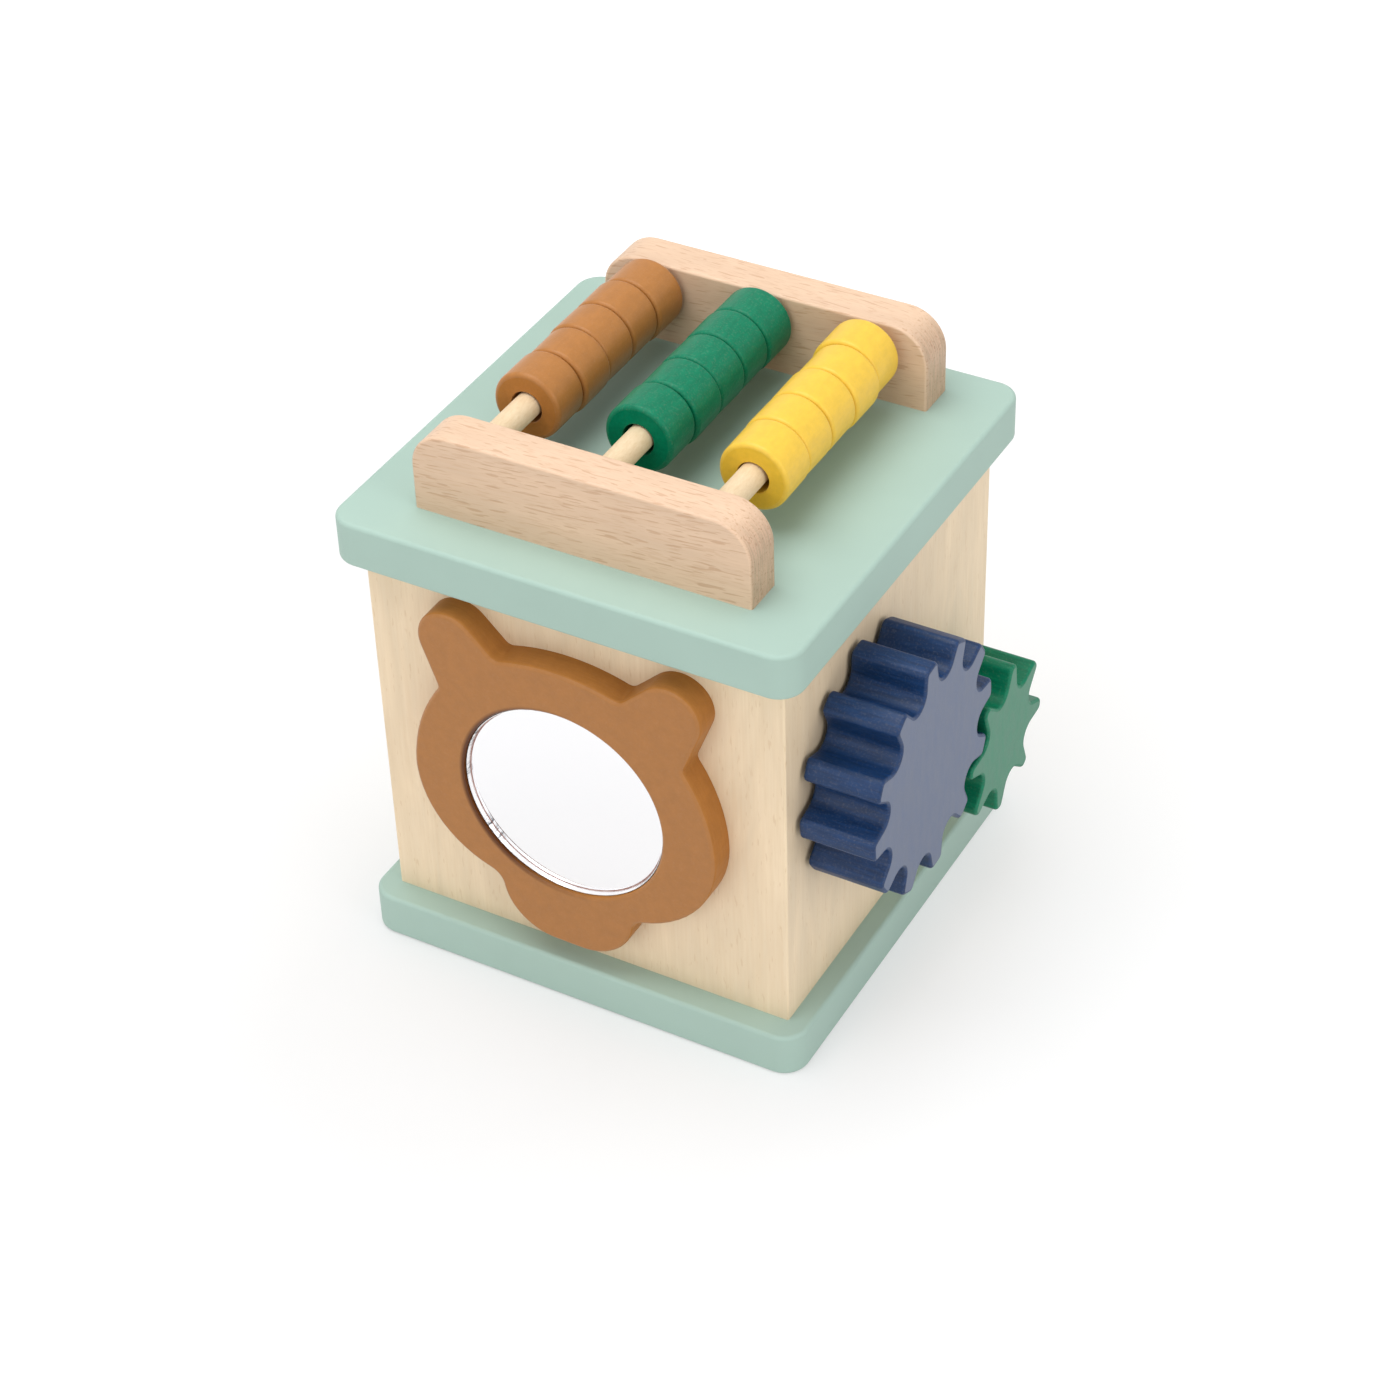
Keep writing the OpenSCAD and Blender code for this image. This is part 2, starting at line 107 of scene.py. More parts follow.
class CubeSizes(PropertyGroup):
    """Edge roundings and small forms that the finishing gives to the cube's pieces"""

    board_corner: length("Board corner", 0.008, "Radius of the boards' upright corners")
    board_edge: length("Board edge", 0.0014, "Rounding of the boards' long edges")
    bracket_corner: length("Bracket corner", 0.012, "Radius of the brackets' upper corners")
    bracket_edge: length("Bracket edge", 0.0009, "Rounding of the brackets' sanded edges")
    bead_rim: length("Bead rim", 0.0014, "Rounding of a bead's outer rims")
    bead_bore: length("Bead bore", 0.0050, "Radius of the hole through a bead")
    frame_edge: length("Frame edge", 0.0014, "Rounding of the bear-head frame's front edge")
    hole_edge: length("Recess edge", 0.0012, "Rounding of the edge round the mirror")
    mirror_rim: length("Mirror rim", 0.0015, "Depth of the clear rim over the silvering")
    gear_edge: length("Gear edge", 0.0010, "Rounding of the faces of the gears and the wheel")
    knob_rim: length("Knob rim", 0.005, "Rounding of the knob's outer rim")
    steps: IntProperty(
        name="Steps", description="Sides of a turned piece", default=64, min=16, max=128)


class CubeColours(PropertyGroup):
    """Colours of the woods, the lacquer and the stains"""

    mint: colour("Mint", "#A2BBB0", "Lacquer of the two boards")
    birch: colour("Birch", "#E8D3B4", "Birch of the body")
    beech: colour("Beech", "#DABB9F", "Beech of the brackets")
    dowel: colour("Dowel", "#E2CCAB", "Rods, dowels and what is inside the body")
    brown: colour("Brown", "#A66E36", "Stain of the bear-head frame and its beads")
    green: colour("Green", "#007453", "Stain of the small gear and its beads")
    yellow: colour("Yellow", "#E9BF3F", "Stain of the wheel and its beads")
    navy: colour("Navy", "#0D315C", "Stain of the large gear and the knob")


# ---------------------------------------------------------------- modelling helpers


def deselect():
    """Leaves edit mode and selects nothing."""
    if bpy.context.mode != "OBJECT":
        bpy.ops.object.mode_set(mode="OBJECT")
    bpy.ops.object.select_all(action="DESELECT")


def only(piece):
    """Makes a piece the one selected and active object."""
    deselect()
    piece.select_set(True)
    bpy.context.view_layer.objects.active = piece


def start(name):
    """Names the piece that was just added; its transform goes into its mesh."""
    piece = bpy.context.object
    piece.name = piece.data.name = name
    bpy.ops.object.transform_apply(location=True, rotation=True, scale=True)
    return piece


def block(name):
    """A cube as large as a CAD node and in its place, with the corners of its box."""
    low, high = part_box(name)
    deselect()
    bpy.ops.mesh.primitive_cube_add(size=1, location=(low + high) / 2, scale=high - low)
    return start(name.replace("_", "-")), low, high


def edit(piece):
    """Opens a piece in edit mode, in edges, with nothing selected."""
    only(piece)
    bpy.ops.object.mode_set(mode="EDIT")
    bpy.ops.mesh.select_mode(type="EDGE")
    bpy.ops.mesh.select_all(action="DESELECT")


def pick_edges(piece, test):
    """Selects the edges that pass a test on the edge, its middle and its direction."""
    form = bmesh.from_edit_mesh(piece.data)
    for edge in form.edges:
        a, b = edge.verts[0].co, edge.verts[1].co
        edge.select_set(bool(test(edge, (a + b) / 2, (b - a).normalized())))
    form.select_flush_mode()
    bmesh.update_edit_mesh(piece.data)


def pick_faces(piece, test):
    """Selects the faces that pass a test on their middle."""
    bpy.ops.mesh.select_mode(type="FACE")
    form = bmesh.from_edit_mesh(piece.data)
    for face in form.faces:
        face.select_set(bool(test(face.calc_center_median())))
    form.select_flush_mode()
    bmesh.update_edit_mesh(piece.data)


def sharp(edge, bend):
    """Whether two faces meet at an edge with more than a given bend."""
    return len(edge.link_faces) == 2 and edge.calc_face_angle(0.0) > bend


def bevel(width, segments):
    """Rounds the selected edges."""
    bpy.ops.mesh.bevel(
        offset=width, offset_type="OFFSET", segments=segments, profile=0.5, affect="EDGES")


def finish_piece(piece):
    """Back to object mode, smooth but for real edges, with flat faces kept flat."""
    only(piece)
    bpy.ops.object.shade_smooth_by_angle(angle=SMOOTH_BEND)
    flat = piece.modifiers.new("Flat faces", "WEIGHTED_NORMAL")
    flat.keep_sharp = True
    flat.weight = 80
    bpy.ops.object.modifier_apply(modifier=flat.name)


def dress(piece, finish, body, node):
    """Gives a new piece its material and the body that it rides on, and hides the CAD
    node that it stands for."""
    piece.data.materials.clear()
    piece.data.materials.append(finish)
    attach(piece, body)
    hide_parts(node)


def dress_part(piece, finish, test):
    """Gives the faces that pass a test on their normal a second material."""
    piece.data.materials.append(finish)
    for face in piece.data.polygons:
        face.material_index = int(test(face.normal))


def dress_nodes(finish, *names):
    """A better material on CAD nodes whose shape stays."""
    for name in names:
        NODES[name].data.materials.clear()
        NODES[name].data.materials.append(finish)


def section(name, point, normal):
    """A node's outline where a plane cuts it, as a new piece of one face."""
    deselect()
    piece = NODES[name].copy()
    piece.data = NODES[name].data.copy()
    for key in list(piece.keys()):
        del piece[key]
    piece.parent = None
    bpy.context.scene.collection.objects.link(piece)
    edit(piece)
    bpy.ops.mesh.select_all(action="SELECT")
    bpy.ops.mesh.remove_doubles(threshold=MERGE)
    bpy.ops.mesh.select_all(action="SELECT")
    bpy.ops.mesh.bisect(plane_co=point, plane_no=normal, use_fill=True, clear_inner=True)
    pick_faces(piece, lambda m: abs((m - Vector(point)).dot(Vector(normal))) > ON_FACE)
    bpy.ops.mesh.delete(type="FACE")
    bpy.ops.mesh.select_mode(type="EDGE")
    bpy.ops.mesh.select_all(action="SELECT")
    bpy.ops.mesh.dissolve_limited(angle_limit=math.radians(0.5))
    bpy.ops.object.mode_set(mode="OBJECT")
    return piece


def thicken(piece, name, shift, way):
    """Moves a flat outline to where the solid starts and extrudes it all the way; the piece
    stays in edit mode."""
    piece.name = piece.data.name = name
    piece.data.transform(Matrix.Translation(shift))
    edit(piece)
    bpy.ops.mesh.select_all(action="SELECT")
    bpy.ops.mesh.extrude_region_move(TRANSFORM_OT_translate={"value": way})
    bpy.ops.mesh.select_all(action="SELECT")
    bpy.ops.mesh.normals_make_consistent(inside=False)


def cut(piece, tool):
    """Cuts one piece out of another."""
    only(piece)
    cutter = piece.modifiers.new("Recess", "BOOLEAN")
    cutter.operation = "DIFFERENCE"
    cutter.solver = "EXACT"
    cutter.object = tool
    bpy.ops.object.modifier_apply(modifier=cutter.name)
    bpy.data.objects.remove(tool)


def turned(name, outline, middle, axis, steps):
    """A lathe-turned piece: an outline of (radius, distance) points is spun round an axis."""
    axis = Vector(axis)
    side = Vector((0, 0, 1)) if abs(axis.z) < 0.5 else Vector((1, 0, 0))
    deselect()
    # A ring of as many points as the outline has, which then takes its shape
    bpy.ops.mesh.primitive_circle_add(vertices=len(outline), radius=0.01)
    piece = start(name)
    for vertex, (radius, along) in zip(piece.data.vertices, outline):
        vertex.co = middle + side * radius + axis * along
    edit(piece)
    bpy.ops.mesh.select_all(action="SELECT")
    bpy.ops.mesh.spin(steps=steps, angle=math.tau, center=middle, axis=axis)
    bpy.ops.mesh.select_all(action="SELECT")
    bpy.ops.mesh.remove_doubles(threshold=MERGE)
    bpy.ops.mesh.select_all(action="SELECT")
    bpy.ops.mesh.normals_make_consistent(inside=False)
    bpy.ops.object.mode_set(mode="OBJECT")
    return piece


def rounded(corners, radii, steps=5):
    """Outline points of a polygon whose corners are rounded, each by its own radius."""
    points = []
    for i, corner in enumerate(corners):
        here = Vector(corner)
        radius = radii[i]
        if radius == 0:
            points.append(tuple(here))
            continue
        back = (Vector(corners[i - 1]) - here).normalized()
        on = (Vector(corners[(i + 1) % len(corners)]) - here).normalized()
        half = back.angle(on) / 2
        centre = here + (back + on).normalized() * radius / math.sin(half)
        a = here + back * radius / math.tan(half) - centre
        b = here + on * radius / math.tan(half) - centre
        turn = a.angle_signed(b)
        for k in range(steps + 1):
            points.append(tuple(centre + Matrix.Rotation(-turn * k / steps, 2) @ a))
    return points


# ---------------------------------------------------------------- materials

MULTIPLY = {"operation": "MULTIPLY"}
BLEND = {"data_type": "RGBA"}
TINT = {"data_type": "RGBA", "blend_type": "MULTIPLY"}
WHITE = (1.0, 1.0, 1.0, 1.0)
# IOR of clear lacquer on bare wood, and how far grain, pores and orange peel stand out in metres
LACQUER_IOR = 1.48
RELIEF = 0.0001


def add(tree, kind, settings=None, **inputs):
    """Adds a shader node with its settings and its inputs. An input goes by its identifier, with
    _ for a space, and is a value, a node's output, or a node for its first output in use."""
    node = tree.nodes.new(kind)
    for key, value in (settings or {}).items():
        setattr(node, key, value)
    for key, value in inputs.items():
        socket = next(s for s in node.inputs if s.identifier.replace(" ", "_") == key)
        if isinstance(value, bpy.types.Node):
            value = next(output for output in value.outputs if output.enabled)
        if isinstance(value, bpy.types.NodeSocket):
            tree.links.new(value, socket)
        else:
            socket.default_value = value
    return node


def blank(name):
    """A new material with an empty tree, and its object coordinates."""
    material = bpy.data.materials.new(name)
    material.use_nodes = True
    tree = material.node_tree
    tree.nodes.clear()
    return material, tree, add(tree, "ShaderNodeTexCoord").outputs["Object"]


def rgba(value):
    """A colour with full opacity, as a shader socket takes it."""
    return (*value[:3], 1.0)


def shaded(tone, factor):
    """A colour times a factor, or times a factor each for red, green and blue."""
    factors = factor if isinstance(factor, tuple) else (factor,) * 3
    return rgba([min(1.0, c * f) for c, f in zip(tone, factors)])


def per_mm(*sizes):
    """Texture scale from a pattern's size in millimetres: one size, or one along each axis."""
    scales = tuple(1000 / size for size in sizes)
    return scales if len(scales) > 1 else scales[0]


def marked(tree, base, tone, marks):
    """Lays a wood's marks over its base colour, each as a pattern, its weight and its shade."""
    for pattern, weight, shade in marks:
        share = add(tree, "ShaderNodeMath", MULTIPLY, Value=pattern, Value_001=weight)
        base = add(tree, "ShaderNodeMix", BLEND,
                   Factor_Float=share, A_Color=base, B_Color=shaded(tone, shade))
    return base


def sanded_birch(tone):
    """Birch boards, planed, sanded and left under matt lacquer: fine upright grain, faint cloudy
    figure and a few short brown flecks; the lacquer keeps a dull, even gloss."""
    material, tree, place = blank("sanded_birch")
    streaks = add(tree, "ShaderNodeMapping", Vector=place, Scale=per_mm(0.9, 0.9, 26))
    grain = add(tree, "ShaderNodeTexNoise", Vector=streaks, Scale=1.0, Detail=4.0, Roughness=0.6)
    lines = add(tree, "ShaderNodeMapRange", Value=grain, From_Min=0.32, From_Max=0.72)
    wide = add(tree, "ShaderNodeMapping", Vector=place, Scale=per_mm(16, 16, 60))
    cloud = add(tree, "ShaderNodeTexNoise", Vector=wide, Scale=1.0, Detail=3.0, Distortion=1.2)
    figure = add(tree, "ShaderNodeMapRange", Value=cloud, From_Min=0.35, From_Max=0.65)
    short = add(tree, "ShaderNodeMapping", Vector=place, Scale=per_mm(0.7, 0.7, 4.5))
    spots = add(tree, "ShaderNodeTexNoise", Vector=short, Scale=1.0, Detail=1.0)
    flecks = add(tree, "ShaderNodeMapRange", Value=spots, From_Min=0.66, From_Max=0.74)
    base = add(tree, "ShaderNodeMix", BLEND,
               Factor_Float=figure, A_Color=shaded(tone, 0.93), B_Color=shaded(tone, 1.05))
    base = marked(tree, base, tone, (
        (lines, 0.42, (0.88, 0.81, 0.70)),
        (flecks, 0.35, (0.75, 0.62, 0.46)),
    ))
    bump = add(tree, "ShaderNodeBump", Strength=0.25, Distance=RELIEF, Height=lines)
    shader = add(tree, "ShaderNodeBsdfPrincipled",
                 Base_Color=base, Roughness=0.5, IOR=LACQUER_IOR, Normal=bump)
    add(tree, "ShaderNodeOutputMaterial", Surface=shader)
    return material


def planed_beech(tone):
    """Beech blocks, planed and sanded: a pinkish wood with short dark flecks along the length and
    finer lines between them, darker and layered on its end grain, under a thin dull lacquer."""
    material, tree, place = blank("planed_beech")
    slant = add(tree, "ShaderNodeMapping", Vector=place, Rotation=(0.0, math.radians(5), 0.0))
    long = add(tree, "ShaderNodeMapping", Vector=slant, Scale=per_mm(6.5, 0.8, 0.62))
    spots = add(tree, "ShaderNodeTexNoise", Vector=long, Scale=1.0, Detail=0.0)
    flecks = add(tree, "ShaderNodeMapRange", Value=spots, From_Min=0.66, From_Max=0.73)
    short = add(tree, "ShaderNodeMapping", Vector=slant, Scale=per_mm(4, 0.5, 0.42))
    dots = add(tree, "ShaderNodeTexNoise", Vector=short, Scale=1.0, Detail=0.0)
    ticks = add(tree, "ShaderNodeMapRange", Value=dots, From_Min=0.58, From_Max=0.72)
    streaks = add(tree, "ShaderNodeMapping", Vector=slant, Scale=per_mm(30, 0.9, 0.9))
    grain = add(tree, "ShaderNodeTexNoise", Vector=streaks, Scale=1.0, Detail=3.0, Roughness=0.6)
    lines = add(tree, "ShaderNodeMapRange", Value=grain, From_Min=0.35, From_Max=0.70)
    wide = add(tree, "ShaderNodeMapping", Vector=place, Scale=per_mm(45, 8, 8))
    cloud = add(tree, "ShaderNodeTexNoise", Vector=wide, Scale=1.0, Detail=2.0)
    figure = add(tree, "ShaderNodeMapRange", Value=cloud, From_Min=0.35, From_Max=0.65)
    base = add(tree, "ShaderNodeMix", BLEND,
               Factor_Float=figure, A_Color=shaded(tone, 0.96), B_Color=shaded(tone, 1.05))
    base = marked(tree, base, tone, (
        (lines, 0.35, (0.90, 0.83, 0.76)),
        (ticks, 0.40, (0.84, 0.75, 0.67)),
        (flecks, 0.60, (0.74, 0.62, 0.53)),
    ))
    # End grain is where the surface turns to the left or right; its yearly layers stand upright
    turned_to = add(tree, "ShaderNodeTexCoord").outputs["Normal"]
    facing = add(tree, "ShaderNodeSeparateXYZ", Vector=turned_to)
    sideways = add(tree, "ShaderNodeMath", {"operation": "ABSOLUTE"}, Value=facing.outputs["X"])
    ends = add(tree, "ShaderNodeMapRange", Value=sideways, From_Min=0.45, From_Max=0.95)
    layers = add(tree, "ShaderNodeMapping", Vector=place,
                 Rotation=(math.radians(8), 0.0, 0.0), Scale=per_mm(30, 0.55, 9))
    rings = add(tree, "ShaderNodeTexNoise", Vector=layers, Scale=1.0, Detail=2.0)
    years = add(tree, "ShaderNodeMapRange", Value=rings, From_Min=0.40, From_Max=0.60)
    shade = add(tree, "ShaderNodeMix", BLEND, Factor_Float=years,
                A_Color=rgba((0.68, 0.67, 0.63)), B_Color=rgba((0.84, 0.80, 0.77)))
    base = add(tree, "ShaderNodeMix", TINT, Factor_Float=ends, A_Color=base, B_Color=shade)
    sunk = add(tree, "ShaderNodeMath", {"operation": "SUBTRACT"}, Value=1.0, Value_001=flecks)
    bump = add(tree, "ShaderNodeBump", Strength=0.3, Distance=RELIEF, Height=sunk)
    shader = add(tree, "ShaderNodeBsdfPrincipled",
                 Base_Color=base, Roughness=0.48, IOR=LACQUER_IOR, Normal=bump)
    add(tree, "ShaderNodeOutputMaterial", Surface=shader)
    return material


def birch_dowel(tone):
    """Birch dowel, turned and sanded: pale, with a fine fibrous speckle drawn along the rod."""
    material, tree, place = blank("birch_dowel")
    streaks = add(tree, "ShaderNodeMapping", Vector=place, Scale=per_mm(0.8, 2.6, 0.8))
    grain = add(tree, "ShaderNodeTexNoise", Vector=streaks, Scale=1.0, Detail=4.0, Roughness=0.7)
    lines = add(tree, "ShaderNodeMapRange", Value=grain, From_Min=0.35, From_Max=0.70)
    base = marked(tree, rgba(tone), tone, ((lines, 1.0, (0.90, 0.85, 0.76)),))
    bump = add(tree, "ShaderNodeBump", Strength=0.3, Distance=RELIEF, Height=lines)
    shader = add(tree, "ShaderNodeBsdfPrincipled",
                 Base_Color=base, Roughness=0.6, IOR=LACQUER_IOR, Normal=bump)
    add(tree, "ShaderNodeOutputMaterial", Surface=shader)
    return material


def sprayed_lacquer(tone):
    """Water-based lacquer sprayed on the boards: an even, closed film with a very fine orange peel
    and hardly any change of tone."""
    material, tree, place = blank("sprayed_lacquer")
    wide = add(tree, "ShaderNodeTexNoise", Vector=place, Scale=per_mm(28.57), Detail=2.0)
    tint = add(tree, "ShaderNodeMapRange", Value=wide, From_Min=0.3, From_Max=0.7)
    base = add(tree, "ShaderNodeMix", BLEND,
               Factor_Float=tint, A_Color=shaded(tone, 0.975), B_Color=shaded(tone, 1.02))
    peel = add(tree, "ShaderNodeTexNoise", Vector=place, Scale=per_mm(0.7143), Detail=2.0)
    rough = add(tree, "ShaderNodeMapRange", Value=peel, To_Min=0.55, To_Max=0.65)
    bump = add(tree, "ShaderNodeBump", Strength=0.08, Distance=RELIEF, Height=peel)
    shader = add(tree, "ShaderNodeBsdfPrincipled",
                 Base_Color=base, Roughness=rough, IOR=1.42, Normal=bump)
    add(tree, "ShaderNodeOutputMaterial", Surface=shader)
    return material


def painted_recess_shade(tree, place, base):
    """Painted shade round the mirror's recess: its rounded edge is drawn darker on the left side,
    where it lies in shade.
    """
    low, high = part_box("mirror_disc")
    radius, middle = (high.x - low.x) / 2, (low + high) / 2
    inner, outer = radius + 0.0007, radius + 0.0019
    apart = add(tree, "ShaderNodeVectorMath", {"operation": "SUBTRACT"},
                Vector=place, Vector_001=(middle.x, 0.0, middle.z))
    flat = add(tree, "ShaderNodeVectorMath", MULTIPLY, Vector=apart, Vector_001=(1.0, 0.0, 1.0))
    span = add(tree, "ShaderNodeVectorMath", {"operation": "LENGTH"}, Vector=flat)
    near = add(tree, "ShaderNodeMapRange",
               Value=span, From_Min=inner, From_Max=outer, To_Min=1.0, To_Max=0.0)
    way = add(tree, "ShaderNodeVectorMath", {"operation": "NORMALIZE"}, Vector=flat)
    across = add(tree, "ShaderNodeSeparateXYZ", Vector=way)
    left = add(tree, "ShaderNodeMapRange", Value=across.outputs["X"], From_Min=0.3, From_Max=-0.6)
    # Painted shade: a dark brown is multiplied in close to the recess, on its left side
    recess_shade = add(tree, "ShaderNodeMath", MULTIPLY, Value=near, Value_001=left)
    return add(tree, "ShaderNodeMix", TINT,
               Factor_Float=recess_shade, A_Color=base, B_Color=rgba((0.24, 0.16, 0.07)))


# The stained finishes. tone: a stain and how much paler it lies; grain: a streak's size along X, Y
# and Z in mm; depth: how much the streaks show; pores: how much the pale pores show; ior: that of
# the sealer, low where sanded end grain leaves it dull; the last flag: painted shade round the
# mirror
STAINS = {
    "brown": dict(tone=("brown", 1.08), grain=(1.6, 7, 1.6), depth=0.04, pores=0.12, ior=1.39),
    "brown end": dict(tone=("brown", 1.14), grain=(1.6, 7, 1.6), depth=0.04, pores=0.06, ior=1.15),
    "bear": dict(
        tone=("brown", 1.0), grain=(6, 0.9, 6), depth=0.03, pores=0.08, ior=1.42, recess_shade=True),
    "bear flank": dict(
        tone=("brown", 1.02), grain=(6, 0.9, 6), depth=0.05, pores=0.05, ior=1.18, recess_shade=True),
    "green": dict(tone=("green", 1.0), grain=(1.2, 5, 1.2), depth=0.12, pores=0.16, ior=1.30),
    "green end": dict(tone=("green", 1.0), grain=(1.2, 5, 1.2), depth=0.12, pores=0.03, ior=1.12),
    "green flank": dict(tone=("green", 1.0), grain=(9, 0.9, 0.9), depth=0.18, pores=0.14, ior=1.33),
    "green face": dict(tone=("green", 1.0), grain=(2, 3, 9), depth=0.06, pores=0.08, ior=1.63),
    "yellow": dict(tone=("yellow", 1.0), grain=(1.5, 6, 1.5), depth=0.03, pores=0.10, ior=1.46),
    "yellow end": dict(tone=("yellow", 1.0), grain=(1.5, 6, 1.5), depth=0.03, pores=0.06, ior=1.15),
    "navy flank": dict(tone=("navy", 1.0), grain=(9, 0.8, 0.8), depth=0.28, pores=0.14, ior=1.40),
    # The navy face's stain lies 1.15 times paler: painted sheen for the pale reflection its flat
    # faces show when seen from the side
    "navy face": dict(tone=("navy", 1.15), grain=(2, 3, 9), depth=0.08, pores=0.06, ior=2.18),
}


def stained_wood(name, tone, grain, depth, pores, ior, recess_shade=False):
    """Beech dyed with opaque water stain: the grain still shows as faint streaks and tiny pores,
    where the stain lies thin, and the sealer gives a soft gloss."""
    material, tree, place = blank(name.replace(" ", "_") + "_stain")
    along = add(tree, "ShaderNodeMapping", Vector=place, Scale=per_mm(*grain))
    fibres = add(tree, "ShaderNodeTexNoise", Vector=along, Scale=1.0, Detail=4.0, Roughness=0.65)
    lines = add(tree, "ShaderNodeMapRange", Value=fibres, From_Min=0.35, From_Max=0.68)
    base = add(tree, "ShaderNodeMix", BLEND,
               Factor_Float=lines, A_Color=shaded(tone, 1 - depth), B_Color=shaded(tone, 1 + depth))
    blotch = add(tree, "ShaderNodeTexNoise",
                 Vector=place, Scale=per_mm(3.03), Detail=3.0, Roughness=0.6)
    cloud = add(tree, "ShaderNodeMapRange", Value=blotch, From_Min=0.35, From_Max=0.65)
    cloudy = add(tree, "ShaderNodeMix", BLEND,
                 Factor_Float=cloud, A_Color=shaded(WHITE, 0.93), B_Color=WHITE)
    base = add(tree, "ShaderNodeMix", TINT, Factor_Float=1.0, A_Color=base, B_Color=cloudy)
    tiny = add(tree, "ShaderNodeTexNoise", Vector=place, Scale=per_mm(0.6667), Detail=2.0)
    open_pores = add(tree, "ShaderNodeMapRange", Value=tiny, From_Min=0.52, From_Max=0.72)
    thin = add(tree, "ShaderNodeMath", MULTIPLY, Value=open_pores, Value_001=pores)
    bare_wood = (0.50, 0.42, 0.33)
    pale = rgba([0.6 * c + 0.4 * wood for c, wood in zip(tone, bare_wood)])
    base = add(tree, "ShaderNodeMix", BLEND, Factor_Float=thin, A_Color=base, B_Color=pale)
    # Painted shade round the mirror's recess
    if recess_shade:
        base = painted_recess_shade(tree, place, base)
    rough = add(tree, "ShaderNodeMapRange", Value=fibres, To_Min=0.34, To_Max=0.50)
    height = add(tree, "ShaderNodeMath", {"operation": "ADD"}, Value=lines, Value_001=tiny)
    bump = add(tree, "ShaderNodeBump", Strength=0.22, Distance=RELIEF, Height=height)
    shader = add(tree, "ShaderNodeBsdfPrincipled",
                 Base_Color=base, Roughness=rough, IOR=ior, Normal=bump)
    add(tree, "ShaderNodeOutputMaterial", Surface=shader)
    return material


def silvered_acrylic():
    """Vacuum-coated acrylic sheet: a clean mirror with the least haze, so it takes on its
    surroundings."""
    material, tree, place = blank("silvered_acrylic")
    haze = add(tree, "ShaderNodeTexNoise", Vector=place, Scale=per_mm(25), Detail=2.0)
    rough = add(tree, "ShaderNodeMapRange", Value=haze, To_Min=0.01, To_Max=0.03)
    shader = add(tree, "ShaderNodeBsdfPrincipled",
                 Base_Color=rgba(linear("#FAFAFC")), Metallic=1.0, Roughness=rough)
    add(tree, "ShaderNodeOutputMaterial", Surface=shader)
    return material


def cut_acrylic_edge():
    """The sheet's sawn edge seen from inside, drawn near-white as painted light for the brightness
    the clear edge catches, with a few patches of grey saw streaks.
    """
    material, tree, place = blank("cut_acrylic_edge")
    streaks = add(tree, "ShaderNodeMapping", Vector=place, Scale=per_mm(0.9, 3, 0.9))
    saw = add(tree, "ShaderNodeTexNoise", Vector=streaks, Scale=1.0, Detail=3.0, Roughness=0.6)
    marks = add(tree, "ShaderNodeMapRange", Value=saw, From_Min=0.42, From_Max=0.62)
    broad = add(tree, "ShaderNodeTexNoise", Vector=place, Scale=per_mm(18.18), Detail=1.0)
    patches = add(tree, "ShaderNodeMapRange", Value=broad, From_Min=0.54, From_Max=0.61)
    sawn = add(tree, "ShaderNodeMath", MULTIPLY, Value=marks, Value_001=patches)
    base = add(tree, "ShaderNodeMix", BLEND, Factor_Float=sawn,
               A_Color=rgba(linear("#FAFAFB")), B_Color=rgba(linear("#55575C")))
    shader = add(tree, "ShaderNodeBsdfPrincipled", Base_Color=base, Metallic=0.6, Roughness=0.25)
    add(tree, "ShaderNodeOutputMaterial", Surface=shader)
    return material


def mottled(name, size, dark, light, **surface):
    """A plain surface that changes between two close tones in spots of a size in millimetres."""
    material, tree, place = blank(name)
    spots = add(tree, "ShaderNodeTexNoise", Vector=place, Scale=per_mm(size), Detail=2.0)
    tint = add(tree, "ShaderNodeMapRange", Value=spots, From_Min=0.35, From_Max=0.65)
    base = add(tree, "ShaderNodeMix", BLEND, Factor_Float=tint,
               A_Color=rgba(linear(dark)), B_Color=rgba(linear(light)))
    shader = add(tree, "ShaderNodeBsdfPrincipled", Base_Color=base, **surface)
    add(tree, "ShaderNodeOutputMaterial", Surface=shader)
    return material


def glue_line():
    """Thin line of clear glue where the sheet meets its silvering: greyish pink."""
    return mottled("glue_line", 2.5, "#8E6054", "#AA867C", Roughness=0.5)


def zinc_plated_steel():
    """Zinc-plated screw steel: a bluish grey metal with a faint crystalline mottling."""
    return mottled("zinc_plated_steel", 1.111, "#A9ACB1", "#C4C8CC", Metallic=1.0, Roughness=0.34)


